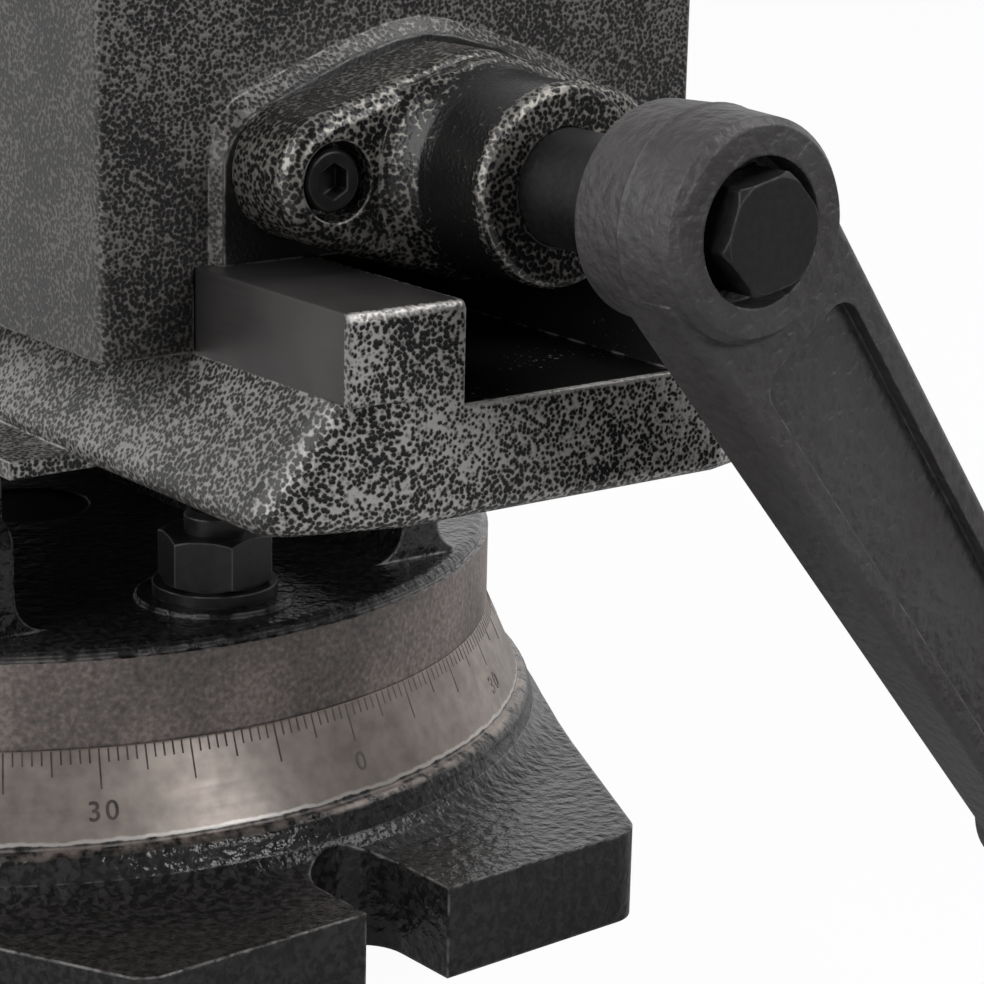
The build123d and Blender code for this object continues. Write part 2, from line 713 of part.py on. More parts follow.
def screw_bracket():
    """Cast flange with two screw ears and a round boss that the screw turns in."""
    face = Plane(origin=(0, pad_face, axis_z), x_dir=(1, 0, 0), z_dir=(0, -1, 0))
    turn = math.acos((flange_centre_r - flange_ear_r) / flange_ear_x)
    cx = flange_centre_r * math.cos(turn)
    cz = flange_centre_r * math.sin(turn)
    ex = flange_ear_x + flange_ear_r * math.cos(turn)
    ez = flange_ear_r * math.sin(turn)
    outline = Polygon((cx, cz), (-cx, cz), (-ex, ez), (-ex, -ez), (-cx, -cz), (cx, -cz), (ex, -ez),
                      (ex, ez), align=None)
    outline += Circle(flange_centre_r)
    for x in (-flange_ear_x, flange_ear_x):
        outline += Pos(x, 0) * Circle(flange_ear_r)
    flange = extrude(face * outline, amount=flange_t, dir=face.z_dir)
    front = flange.faces().sort_by(Axis.Y)[0]
    flange = fillet(front.edges(), flange_round)
    neck = []
    for i in range(7):
        a = math.radians(15 * i)
        out = boss_blend * (1 - math.sin(a))
        neck.append((boss_r + out, flange_t + boss_blend * (1 - math.cos(a)) - neck_sink))
    length = pad_face - boss_end
    profile = [(0, 2), (boss_r + boss_blend, 2)] + neck
    profile += [(boss_r, length - 1.2), (boss_r - 0.4, length - 0.35), (boss_r - 1.2, length), (0, length)]
    boss = face.location * turned(profile)
    limit = extrude(face * offset(outline, -neck_inset), amount=length + 1, dir=face.z_dir)
    bracket = flange + (boss & limit)
    bracket -= rod(shaft_r + journal_fit, (0, pad_face + 1, axis_z), (0, boss_end - 1, axis_z))
    for x in (-bracket_screw_x, bracket_screw_x):
        bracket -= rod(bracket_screw_r + 0.3, (x, pad_face + 1, axis_z), (x, flange_face - 1, axis_z))
        bracket -= rod(bracket_sink_r, (x, flange_face + bracket_sink, axis_z), (x, flange_face - 20, axis_z))
    return bracket


def bracket_screws():
    screws = []
    for x in (-bracket_screw_x, bracket_screw_x):
        top = (x, flange_face + bracket_sink - bracket_head_t, axis_z)
        screws.append(cap_screw(bracket_screw_r, bracket_head_r, bracket_head_t, 20.0, top, (0, 1, 0)))
    return Compound(children=screws)


def grip_axis():
    """Where the grip turns, in X and Z."""
    a = math.radians(crank_angle)
    return crank_radius * math.cos(a), axis_z + crank_radius * math.sin(a)


def crank():
    """Cast crank: drafted hub with a hexagon socket, and a tapered arm with a sunk panel."""
    along = Plane(origin=(0, 0, axis_z), x_dir=(math.cos(math.radians(crank_angle)), 0,
                                               math.sin(math.radians(crank_angle))), z_dir=(0, -1, 0))
    mid = hub_length / 2
    hub_plane = Plane(origin=(0, hub_back, axis_z), z_dir=(0, -1, 0))
    hub = hub_plane.location * turned([(0, 0), (hub_r - hub_draft - 0.8, 0), (hub_r - hub_draft, 0.8),
                                       (hub_r, mid - 0.5), (hub_r + 0.2, mid), (hub_r, mid + 0.5),
                                       (hub_r - hub_draft, hub_length - 1.2),
                                       (hub_r - hub_draft - 1.0, hub_length), (0, hub_length)])
    back = Plane(origin=along.origin + Vector(0, arm_back, 0), x_dir=along.x_dir, z_dir=along.z_dir)
    front = Plane(origin=along.origin + Vector(0, arm_front, 0), x_dir=along.x_dir, z_dir=along.z_dir)
    outline = [(0, -arm_root_half - arm_shift), (crank_radius, -arm_tip_half - arm_shift),
               (crank_radius, arm_tip_half - arm_shift), (0, arm_root_half - arm_shift)]
    blade = prism(back, outline, arm_t)
    long_edges = blade.edges().filter_by(lambda e: e.length > crank_radius - 1)
    blade = fillet(long_edges, arm_round)
    x, z = grip_axis()
    arm = blade + rod(tip_r, (x, arm_back + tip_proud, z), (x, arm_front - tip_proud, z))
    sunk = Polygon((panel_start, -panel_half - arm_shift), (panel_end, -panel_end_half - arm_shift),
                   (panel_end, panel_end_half - arm_shift), (panel_start, panel_half - arm_shift), align=None)
    sunk = fillet(sunk.vertices(), panel_corner)
    panel = extrude(front * sunk, amount=panel_depth, dir=front.z_dir * -1)
    arm -= panel
    piece = hub + arm
    mouth_z = hub_front + mouth_depth
    piece -= hexagon(hex_flats + 2 * hex_gap, (0, mouth_z - 0.5, axis_z), (0, hub_back + 1, axis_z), hex_turn)
    piece -= rod(mouth_r, (0, hub_front - 1, axis_z), (0, mouth_z, axis_z))
    return piece - rod(spindle_r, (x, hub_front - 1, z), (x, hub_back + 1, z))


def grip_spindle():
    """Pin riveted into the crank that the grip turns on."""
    x, z = grip_axis()
    seat = arm_front - tip_proud - grip_length - 2 * grip_gap
    pin = rod(spindle_r, (x, arm_back + tip_proud, z), (x, seat, z))
    head = rod(spindle_head_r, (x, seat, z), (x, seat - spindle_head_t, z))
    return pin + chamfer(head.edges().filter_by(GeomType.CIRCLE).sort_by(Axis.Y)[0], 1.0)


def crank_grip():
    """Turning grip with a slight swell."""
    x, z = grip_axis()
    n = grip_length
    r = grip_r
    bore = spindle_r + grip_gap
    start = Plane(origin=(x, arm_front - tip_proud - grip_gap, z), z_dir=(0, -1, 0))
    outline = [(bore, 0), (r - 3.4, 0), (r - 2.2, 1.2), (r - 1.0, n * 0.2), (r, n * 0.45),
               (r, n * 0.62), (r - 0.8, n * 0.85), (r - 2.4, n - 1.6), (r - 4.0, n), (bore, n)]
    return start.location * turned(outline)


pieces = {
    "swivel_base": swivel_base(),
    "turntable": turntable(),
    "centre_pivot": centre_pivot(),
    "swivel_clamp_bolts": each_clamp(clamp_bolt),
    "swivel_clamp_washers": each_clamp(clamp_washer),
    "swivel_clamp_nuts": each_clamp(clamp_nut),
    "tilt_bolt": tilt_bolt(),
    "tilt_washers": tilt_washers(),
    "tilt_nut": tilt_nut(),
    "tilt_lock_studs": each_lock(lock_stud),
    "tilt_lock_washers": each_lock(lock_washer),
    "tilt_lock_nuts": each_lock(lock_nut),
    "vise_body": vise_body(),
    "screw_nut": screw_nut(),
    "screw_nut_bolts": screw_nut_bolts(),
    "fixed_jaw_plate": jaw_plate(fixed_face + plate_t, -1),
    "fixed_plate_screws": jaw_plate_screws(fixed_face + plate_t, -1),
    "movable_jaw": movable_jaw(),
    "movable_jaw_plate": jaw_plate(block_end, 1),
    "movable_plate_screws": jaw_plate_screws(block_end, 1),
    "jaw_keeper": jaw_keeper(),
    "jaw_keeper_screws": jaw_keeper_screws(),
    "lead_screw": lead_screw(),
    "thrust_washers": thrust_washers(),
    "screw_bracket": screw_bracket(),
    "bracket_screws": bracket_screws(),
    "crank": crank(),
    "grip_spindle": grip_spindle(),
    "crank_grip": crank_grip(),
}

os.makedirs("parts", exist_ok=True)
for name, shape in pieces.items():
    export_step(shape, f"parts/{name}.step")
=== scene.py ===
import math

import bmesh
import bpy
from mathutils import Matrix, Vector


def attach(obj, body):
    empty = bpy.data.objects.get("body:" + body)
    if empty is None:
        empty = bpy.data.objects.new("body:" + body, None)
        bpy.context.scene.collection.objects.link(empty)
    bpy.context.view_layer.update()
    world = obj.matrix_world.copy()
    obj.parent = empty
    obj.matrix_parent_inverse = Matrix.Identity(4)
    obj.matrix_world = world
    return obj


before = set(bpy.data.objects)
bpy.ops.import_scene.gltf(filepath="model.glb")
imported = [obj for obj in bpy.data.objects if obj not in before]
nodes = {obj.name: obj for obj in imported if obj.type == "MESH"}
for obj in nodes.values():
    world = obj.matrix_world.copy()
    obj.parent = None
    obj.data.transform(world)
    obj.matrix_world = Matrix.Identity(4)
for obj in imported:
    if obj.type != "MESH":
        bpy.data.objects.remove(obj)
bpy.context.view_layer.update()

# %% [markdown]
# # A tilting machine vise
# The castings, screws and nuts come from the CAD model, already in place and in metres.
# This script dresses them: it gives every surface a finish that follows how it was made, stamps
# the degree scale on the base, and sets up the studio and the camera.

MM = 0.001
print("parts in the model:", len(nodes))

# %% [markdown]
# ## Helpers for materials
# A colour is written as the hex code that a paint chart gives, which is in sRGB. The renderer
# works with linear light, so one function turns the code into linear values. A second one adds a
# shader node with its settings, values and links in one call and hands back an output, so that a
# node tree below reads like a list of sums. Pattern sizes are written in real millimetres.

# %% Colour and node helpers
def linear(code):
    """Linear RGBA values of an sRGB hex code."""
    channels = [int(code[i:i + 2], 16) / 255 for i in (1, 3, 5)]
    return [c / 12.92 if c <= 0.04045 else ((c + 0.055) / 1.055) ** 2.4 for c in channels] + [1.0]


def add(tree, kind, sockets=None, out=0, stops=(), **settings):
    """Adds a node. Sockets take a number, a hex colour or another node's output."""
    made = tree.nodes.new("ShaderNode" + kind)
    for key, value in settings.items():
        setattr(made, key, value)
    for socket, value in (sockets or {}).items():
        if isinstance(value, bpy.types.NodeSocket):
            tree.links.new(value, made.inputs[socket])
        else:
            made.inputs[socket].default_value = linear(value) if isinstance(value, str) else value
    if stops:
        elements = made.color_ramp.elements
        while len(elements) < len(stops):
            elements.new(0.5)
        for element, (position, code) in zip(elements, stops):
            element.position = position
            element.color = linear(code)
    return made.outputs[out] if len(made.outputs) else None


def new_tree(name):
    """A material with an empty node tree, and its Object coordinates."""
    material = bpy.data.materials.new(name)
    material.use_nodes = True
    material.node_tree.nodes.clear()
    return material, material.node_tree, add(material.node_tree, "TexCoord", out="Object")


def per_blob(size_mm):
    """The scale at which a noise texture's blobs are about this wide."""
    return 0.5 / (size_mm * MM)


def per_cell(size_mm):
    """The scale at which a cell texture's cells are about this wide."""
    return 1.0 / (size_mm * MM)


FLAT = 0.985                # cosine between the true and the softened normal where an edge begins
SHARP = 0.90                # and where it is fully an edge
PATCH_BLUR = 0.08           # how softly a rubbed patch ends, in noise values


def worn_edges(tree, place, width_mm, patch_mm, bare=0.5):
    """A mask that is 1 where an edge is rubbed, in patches, and the softened normal of the edge."""
    softened = add(tree, "Bevel", {"Radius": width_mm * MM}, samples=6)
    true_normal = add(tree, "NewGeometry", out="True Normal")
    same = add(tree, "VectorMath", {0: softened, 1: true_normal}, out="Value", operation="DOT_PRODUCT")
    edge = add(tree, "MapRange", {"Value": same, 1: FLAT, 2: SHARP}, interpolation_type="SMOOTHSTEP")
    patches = add(tree, "TexNoise", {"Vector": place, "Scale": per_blob(patch_mm), "Detail": 3.0})
    rubbed = add(tree, "MapRange", {"Value": patches, 1: bare - PATCH_BLUR, 2: bare + PATCH_BLUR})
    return add(tree, "Math", {0: edge, 1: rubbed}, operation="MULTIPLY"), softened


print("blob scale of a 1 mm pattern:", per_blob(1.0))

# %% [markdown]
# ## Hammertone paint
# The castings are sprayed with a hammertone enamel: as it dries, a grey metallic film pulls back
# into a net and leaves round black islands about half a millimetre wide. A cell texture gives
# just such islands: its value is lowest in the middle of each cell, so a ramp on it paints the
# middles black and the walls between them grey. A little noise moves the cells about, and a
# slower one lets the islands run together in places. On faces that look sideways, net and
# islands blend to a flat dark grey, as painted shade. Along sharp edges the film is rubbed thin.

# %% Hammertone enamel on cast iron
SIDE_SHADE_GREY = "#383736"       # painted shade: net and islands blend to this dark grey on faces that look sideways
BARE_WHITE = "#bebbb8"      # rubbed iron on an edge
FILLED = 0.5                # takes the level below every threshold, so that only black is left
DRIFT = 0.9                 # how far noise moves the cells, as a share of a cell
SWELL_MM = 6.0              # size of the patches in which islands run together
RAGGED_MM = 0.35            # size of the nicks in their outlines
NET_METAL = 0.75            # how metallic the net is
RELIEF = 0.05 * MM          # how far the net stands over the islands


def sprayed_aslant(tree, side_shade):
    """Rises to the given share on faces that look sideways, along X, where painted shade is mixed in."""
    facing_x = add(tree, "SeparateXYZ", {0: add(tree, "NewGeometry", out="True Normal")})
    facing_y = add(tree, "Math", {0: facing_x.node.outputs[1]}, operation="ABSOLUTE")
    facing_x = add(tree, "Math", {0: facing_x}, operation="ABSOLUTE")
    shaded_sides = add(tree, "MapRange", {"Value": facing_x, 1: 0.2, 2: 0.5, 4: side_shade})
    off_front = add(tree, "MapRange", {"Value": facing_y, 1: 0.85, 2: 0.35})
    return add(tree, "Math", {0: shaded_sides, 1: off_front}, operation="MULTIPLY")


def hammertone(name, cell_mm, share, island, film, net, shine, side_shade, filled=None, machined=None,
               bared=None):
    """Speckled enamel; share is the level at which black gives way to grey.

    The masks say where it is plain black and where ground or rubbed iron shows; on the pad and the
    neck the plain black is painted shade. Faces that look sideways blend to a flat dark grey, as
    painted shade, as far as the share given for them.
    """
    material, tree, place = new_tree(name)
    wander = add(tree, "TexNoise", {"Vector": place, "Scale": per_blob(cell_mm), "Detail": 2.0}, out="Color")
    drift = DRIFT * cell_mm * MM
    moved = add(tree, "VectorMath", {0: wander, 1: (drift, drift, drift), 2: place}, operation="MULTIPLY_ADD")
    cells = add(tree, "TexVoronoi", {"Vector": moved, "Scale": per_cell(cell_mm)})
    patch = add(tree, "TexNoise", {"Vector": place, "Scale": per_blob(SWELL_MM), "Detail": 1.0})
    swell = add(tree, "Math", {0: patch, 1: 0.5, 2: -0.25}, operation="MULTIPLY_ADD")
    fine = add(tree, "TexNoise", {"Vector": place, "Scale": per_blob(RAGGED_MM), "Detail": 2.0})
    ragged = add(tree, "Math", {0: fine, 1: 0.3, 2: swell}, operation="MULTIPLY_ADD")
    level = add(tree, "Math", {0: cells, 1: ragged}, operation="ADD")
    if filled:
        level = add(tree, "Math", {0: filled(tree, place), 1: -FILLED, 2: level}, operation="MULTIPLY_ADD")
    tone = add(tree, "ValToRGB", {0: level},
               stops=[(share - 0.05, island), (share + 0.04, film), (share + 0.24, net)])
    # Painted shade: faces that look sideways get the flat dark grey mixed in.
    shaded_sides = sprayed_aslant(tree, side_shade)
    tone = add(tree, "Mix", {"Factor": shaded_sides, 6: tone, 7: SIDE_SHADE_GREY}, out=2, data_type="RGBA")
    bright = add(tree, "MapRange", {"Value": level, 1: share - 0.03, 2: share + 0.08})
    rubbed, softened = worn_edges(tree, place, 0.6, 1.6)
    if bared:
        rubbed = add(tree, "Math", {0: rubbed, 1: bared(tree, place, fine)}, operation="MAXIMUM")
    colour = add(tree, "Mix", {"Factor": rubbed, 6: tone, 7: BARE_WHITE}, out=2, data_type="RGBA")
    matt = add(tree, "Math", {0: shaded_sides, 1: 0.3, 2: shine}, operation="MULTIPLY_ADD")
    rough = add(tree, "Math", {0: bright, 1: 0.16, 2: matt}, operation="MULTIPLY_ADD")
    metallic = add(tree, "MapRange", {"Value": shaded_sides, 3: NET_METAL, 4: 0.0})
    metallic = add(tree, "Math", {0: bright, 1: metallic}, operation="MULTIPLY")
    normal = add(tree, "Bump", {"Distance": RELIEF, "Height": level, "Normal": softened})
    result = add(tree, "BsdfPrincipled", {"Base Color": colour, "Roughness": rough, "Metallic": metallic,
                                          "Normal": normal})
    if machined:
        mask = machined(tree, place)
        bare = ground_iron(tree, place, softened)
        result = add(tree, "MixShader", {0: mask, 1: result, 2: bare})
    add(tree, "OutputMaterial", {0: result})
    return material


# %% Ground iron under the enamel
def ground_iron(tree, place, normal):
    """Ground cast iron, a little oily: warm grey, with fine lines along the cutter's way."""
    along = add(tree, "Mapping", {"Vector": place, "Scale": (1.0, 0.02, 1.0)})
    lines = add(tree, "TexNoise", {"Vector": along, "Scale": per_blob(0.35), "Detail": 2.0})
    cloud = add(tree, "TexNoise", {"Vector": place, "Scale": per_blob(9.0), "Detail": 3.0})
    colour = add(tree, "ValToRGB", {0: cloud}, stops=[(0.3, "#454343"), (0.7, "#575554")])
    rough = add(tree, "Math", {0: lines, 1: 0.12, 2: 0.38}, operation="MULTIPLY_ADD")
    lined = add(tree, "Bump", {"Distance": 0.01 * MM, "Height": lines, "Normal": normal})
    return add(tree, "BsdfPrincipled", {"Base Color": colour, "Roughness": rough, "Metallic": 0.7,
                                        "Normal": lined})


print("relief of the net, mm:", RELIEF / MM)

# %% [markdown]
# ## Where the enamel stops
# The rails' tops and outer sides are ground, since the jaw slides on them, and the channel is
# plain black. The pad behind the bracket and the bracket's neck are made black as painted shade.
# The masks find these places by their coordinates on the object. The places are those of the CAD
# model, in millimetres.

# %% Where the bed and the jaw are machined or masked
RAIL_INNER = 18.5 * MM
RAIL_OUTER = 36.6 * MM
RAIL_FOOT = 107.8 * MM
RAIL_FRONT = -155.5 * MM
RAIL_TOP = 119.9 * MM
FIXED_JAW_SEAT = 59.5 * MM
CHANNEL_FLOOR = 105.9 * MM
RAIL_ROUND = 1.3 * MM
PAD_FACE = -120.7 * MM
FLANGE_FACE = -134.0 * MM
BOSS_END = -152.5 * MM
EDGE = 0.2 * MM             # width over which paint gives way to metal


def between_jaws(tree, place, front):
    """1 from a little behind the front end to the fixed jaw, up to the tops of the rails."""
    y = add(tree, "SeparateXYZ", {0: place}, out=1)
    behind = add(tree, "MapRange", {"Value": y, 1: RAIL_FRONT + front, 2: RAIL_FRONT + front + EDGE})
    before = add(tree, "MapRange", {"Value": y, 1: FIXED_JAW_SEAT - EDGE, 2: FIXED_JAW_SEAT - 2 * EDGE})
    below = add(tree, "MapRange", {"Value": y.node.outputs[2], 1: RAIL_TOP + 2 * EDGE, 2: RAIL_TOP + EDGE})
    both = add(tree, "Math", {0: behind, 1: before}, operation="MULTIPLY")
    return add(tree, "Math", {0: both, 1: below}, operation="MULTIPLY")


def rail_faces(tree, place):
    """1 on the ground tops and outer sides of the two rails."""
    x = add(tree, "SeparateXYZ", {0: place})
    side = add(tree, "Math", {0: x}, operation="ABSOLUTE")
    inside = add(tree, "MapRange", {"Value": side, 1: RAIL_OUTER + 2 * EDGE, 2: RAIL_OUTER + EDGE})
    above = add(tree, "MapRange", {"Value": x.node.outputs[2], 1: RAIL_FOOT, 2: RAIL_FOOT + EDGE})
    outer = add(tree, "MapRange", {"Value": side, 1: RAIL_INNER + EDGE, 2: RAIL_INNER + 2 * EDGE})
    both = add(tree, "Math", {0: inside, 1: above}, operation="MULTIPLY")
    both = add(tree, "Math", {0: both, 1: outer}, operation="MULTIPLY")
    return add(tree, "Math", {0: both, 1: between_jaws(tree, place, RAIL_ROUND)}, operation="MULTIPLY")


def channel(tree, place):
    """1 on the floor of the channel and on the rails' inner sides."""
    x = add(tree, "SeparateXYZ", {0: place})
    side = add(tree, "Math", {0: x}, operation="ABSOLUTE")
    inside = add(tree, "MapRange", {"Value": side, 1: RAIL_INNER + EDGE, 2: RAIL_INNER})
    above = add(tree, "MapRange", {"Value": x.node.outputs[2], 1: CHANNEL_FLOOR - EDGE,
                                   2: CHANNEL_FLOOR - 0.5 * EDGE})
    both = add(tree, "Math", {0: inside, 1: above}, operation="MULTIPLY")
    return add(tree, "Math", {0: both, 1: between_jaws(tree, place, EDGE)}, operation="MULTIPLY")


def pad_front(tree, place):
    """1 on the flat front of the jaw's pad, which is made plain black as painted shade behind the flange."""
    away = add(tree, "SeparateXYZ", {0: place}, out=1)
    return add(tree, "MapRange", {"Value": away, 1: PAD_FACE + 0.4 * MM, 2: PAD_FACE + 0.1 * MM})


def neck(tree, place):
    """Rises to almost 1 on the bracket's neck, which is made nearly black as painted shade."""
    away = add(tree, "SeparateXYZ", {0: place}, out=1)
    start = add(tree, "MapRange", {"Value": away, 1: FLANGE_FACE - 2 * MM, 2: FLANGE_FACE - 7 * MM, 4: 0.9})
    end = add(tree, "MapRange", {"Value": away, 1: BOSS_END + 1.5 * MM, 2: BOSS_END + 3.0 * MM})
    return add(tree, "Math", {0: start, 1: end}, operation="MULTIPLY")


def rubbed_front(tree, place, fine):
    """1 on the rounded top edge of the rails' front ends and on the lip of the channel."""
    x = add(tree, "SeparateXYZ", {0: place})
    y, z = x.node.outputs[1], x.node.outputs[2]
    side = add(tree, "Math", {0: x}, operation="ABSOLUTE")
    front = add(tree, "MapRange", {"Value": y, 1: RAIL_FRONT + 1.2 * MM, 2: RAIL_FRONT + 0.8 * MM})
    top = add(tree, "MapRange", {"Value": z, 1: RAIL_TOP - RAIL_ROUND, 2: RAIL_TOP - 0.5 * RAIL_ROUND})
    in_channel = add(tree, "MapRange", {"Value": side, 1: RAIL_INNER + EDGE, 2: RAIL_INNER})
    lip = add(tree, "MapRange", {"Value": z, 1: CHANNEL_FLOOR - 0.7 * MM, 2: CHANNEL_FLOOR - 0.3 * MM})
    lip = add(tree, "Math", {0: lip, 1: in_channel}, operation="MULTIPLY")
    band = add(tree, "Math", {0: top, 1: lip}, operation="MAXIMUM")
    band = add(tree, "Math", {0: band, 1: front}, operation="MULTIPLY")
    torn = add(tree, "MapRange", {"Value": fine, 1: 0.36, 2: 0.52, 3: 0.35})
    return add(tree, "Math", {0: band, 1: torn}, operation="MULTIPLY")


# %% The three hammertone enamels
# One enamel in three copies: the bed's is made lighter, as painted light, and the jaw's and the bracket's
# darker, as painted shade. The size of their cells differs as well.
paint_body_lit = hammertone("hammertone_enamel_bed_lit", 0.66, 0.64, "#191818", "#8b8987", "#d0cdca", 0.24, 0.5,
                        channel, rail_faces, rubbed_front)
paint_jaw_shaded = hammertone("hammertone_enamel_jaw_shaded", 0.6, 0.63, "#212020", "#4c4a49", "#827f7d", 0.3, 0.3,
                       pad_front)
paint_bracket_shaded = hammertone("hammertone_enamel_bracket_shaded", 0.7, 0.66, "#100f0f", "#403e3d", "#98958f", 0.24, 0.1,
                           neck)
print("hammertone enamels:", [made.name for made in (paint_body_lit, paint_jaw_shaded, paint_bracket_shaded)])

# %% [markdown]
# ## The base and the turntable
# The base carries a darker coat with the skin of an orange. Its cone was turned bright after
# painting, so the scale can be read, and the turntable's rim was turned roughly. Height and
# radius tell the shader where the tool went: the mask is 1 there and the paint gives way to
# metal. The tool left a bright burr along the cone's foot. On the soft shoulder of the casting
# right under it, lumps of bright metal are a painted highlight.

# %% Orange peel enamel and turned iron
CONE_TOP_Z = 36.9 * MM
CONE_FOOT_Z = 23.5 * MM
RIM_TOP_Z = 51.1 * MM
RING_RADIUS = 84.0 * MM
CONE_RADIUS = 89.9 * MM     # at the cone's foot
BURR_WHITE = "#cfcac6"      # the burr that the tool left along the cone's foot
TEAR = 1.2 * MM             # how far the line between paint and metal wanders
TURNED_METAL = 0.7          # how metallic the turned iron is


def glossy_black(tree, place, rubbed, normal):
    """Black enamel with the skin of an orange, worn to grey where it is rubbed."""
    peel = add(tree, "TexNoise", {"Vector": place, "Scale": per_blob(1.0), "Detail": 2.0})
    worms = add(tree, "TexNoise", {"Vector": place, "Scale": per_blob(0.7), "Detail": 2.0, "Distortion": 0.6})
    tone = add(tree, "ValToRGB", {0: worms}, stops=[(0.42, "#1a1a1a"), (0.62, "#363434")])
    colour = add(tree, "Mix", {"Factor": rubbed, 6: tone, 7: "#8f8c8a"}, out=2, data_type="RGBA")
    skin = add(tree, "Bump", {"Distance": 0.45 * MM, "Height": peel, "Normal": normal})
    return add(tree, "BsdfPrincipled", {"Base Color": colour, "Roughness": 0.2, "Normal": skin})


def turned_iron(tree, place, tones, grain_mm, patch_mm, polish, burr, normal):
    """Turned iron, with lines that run around the axis and white on the burr."""
    patch = add(tree, "TexNoise", {"Vector": place, "Scale": per_blob(patch_mm), "Detail": 2.0})
    speck = add(tree, "TexNoise", {"Vector": place, "Scale": per_blob(grain_mm), "Detail": 3.0})
    blend = add(tree, "Mix", {"Factor": 0.5, 2: patch, 3: speck}, data_type="FLOAT")
    tone = add(tree, "ValToRGB", {0: blend}, stops=tones)
    if burr:
        tone = add(tree, "Mix", {"Factor": burr, 6: tone, 7: BURR_WHITE}, out=2, data_type="RGBA")
    around = add(tree, "Mapping", {"Vector": place, "Scale": (0.04, 0.04, 1.0)})
    lines = add(tree, "TexNoise", {"Vector": around, "Scale": per_blob(0.3), "Detail": 2.0})
    rough = add(tree, "Math", {0: lines, 1: 0.12, 2: polish}, operation="MULTIPLY_ADD")
    grooves = add(tree, "Bump", {"Distance": 0.012 * MM, "Height": lines, "Normal": normal})
    return add(tree, "BsdfPrincipled", {"Base Color": tone, "Roughness": rough, "Metallic": TURNED_METAL,
                                        "Normal": grooves})


# %% Where paint gives way to turned metal
def turned_band(tree, z, height, radius, low, high, least_radius):
    """1 between two heights, outside a least radius; its lower end is ragged."""
    above = add(tree, "MapRange", {"Value": height, 1: low - 0.1 * MM, 2: low + 0.1 * MM})
    below = add(tree, "MapRange", {"Value": z, 1: high, 2: high - 0.1 * MM})
    outside = add(tree, "MapRange", {"Value": radius, 1: least_radius - 0.3 * MM, 2: least_radius})
    band = add(tree, "Math", {0: above, 1: below}, operation="MULTIPLY")
    return add(tree, "Math", {0: band, 1: outside}, operation="MULTIPLY")


def burr_line(tree, height, low):
    """1 on a thin ragged line just over the lower end of the turned band."""
    under = add(tree, "MapRange", {"Value": height, 1: low + 0.7 * MM, 2: low + 0.4 * MM})
    over = add(tree, "MapRange", {"Value": height, 1: low - 0.3 * MM, 2: low})
    return add(tree, "Math", {0: under, 1: over}, operation="MULTIPLY")


def shoulder_lumps(tree, height, tear, foot, crown):
    """1 on lumps of the shoulder between its foot and its crown, where bright metal is a painted highlight.
    """
    rise = add(tree, "MapRange", {"Value": height, 1: foot, 2: foot + 0.9 * MM})
    fall = add(tree, "MapRange", {"Value": height, 1: crown, 2: crown - 0.4 * MM})
    band = add(tree, "Math", {0: rise, 1: fall}, operation="MULTIPLY")
    highlight_lumps = add(tree, "MapRange", {"Value": tear, 1: 0.42, 2: 0.56})
    return add(tree, "Math", {0: band, 1: highlight_lumps}, operation="MULTIPLY")


# %% The two orange peel enamels
def orange_peel(name, low, high, least_radius, tones, grain_mm, patch_mm, polish, highlight_shoulder):
    """Black enamel with turned metal between two heights, and bright metal in lumps on a shoulder band as a
    painted highlight.
    """
    material, tree, place = new_tree(name)
    z = add(tree, "SeparateXYZ", {0: place}, out=2)
    flat = add(tree, "VectorMath", {0: place, 1: (1, 1, 0)}, operation="MULTIPLY")
    radius = add(tree, "VectorMath", {0: flat}, out="Value", operation="LENGTH")
    tear = add(tree, "TexNoise", {"Vector": place, "Scale": per_blob(1.6), "Detail": 4.0})
    height = add(tree, "Math", {0: tear, 1: TEAR, 2: z}, operation="MULTIPLY_ADD")
    height = add(tree, "Math", {0: height, 1: TEAR / 2}, operation="SUBTRACT")
    turned_and_highlight = turned_band(tree, z, height, radius, low, high, least_radius)
    burr = None
    if highlight_shoulder:
        burr = burr_line(tree, height, low)
        highlight_lumps = shoulder_lumps(tree, height, tear, *highlight_shoulder)
        turned_and_highlight = add(tree, "Math", {0: turned_and_highlight, 1: highlight_lumps}, operation="MAXIMUM")
    rubbed, softened = worn_edges(tree, place, 0.8, 1.4, 0.46)
    paint = glossy_black(tree, place, rubbed, softened)
    bare = turned_iron(tree, place, tones, grain_mm, patch_mm, polish, burr, softened)
    add(tree, "OutputMaterial", {0: add(tree, "MixShader", {0: turned_and_highlight, 1: paint, 2: bare})})
    return material


cone_tones = [(0.38, "#8f8681"), (0.5, "#9f958f"), (0.62, "#ada29b")]
rim_tones = [(0.36, "#6a6764"), (0.5, "#8a817e"), (0.62, "#ab9e9a")]
# The last two heights bound the shoulder band where lumps of bright metal are a painted highlight.
paint_base = orange_peel("orange_peel_enamel_base", CONE_FOOT_Z, CONE_TOP_Z + MM, RING_RADIUS - 4 * MM,
                         cone_tones, 1.4, 9.0, 0.34, (21.9 * MM, 23.5 * MM))
paint_table = orange_peel("orange_peel_enamel_turntable", CONE_TOP_Z - 2 * MM, RIM_TOP_Z,
                          RING_RADIUS - 0.4 * MM, rim_tones, 0.45, 10.0, 0.46, None)
print("orange peel enamels:", [made.name for made in (paint_base, paint_table)])

# %% [markdown]
# ## Smaller finishes
# The crank is a sand casting with a thin dark oxide skin, so it is matt and finely lumpy. The
# screws are black oxide: nearly black, smooth and a little oily. Nuts and bolts of the hinge and
# the clamps are dull plated steel. One function serves them all, because they differ only in
# colour, grain and polish.

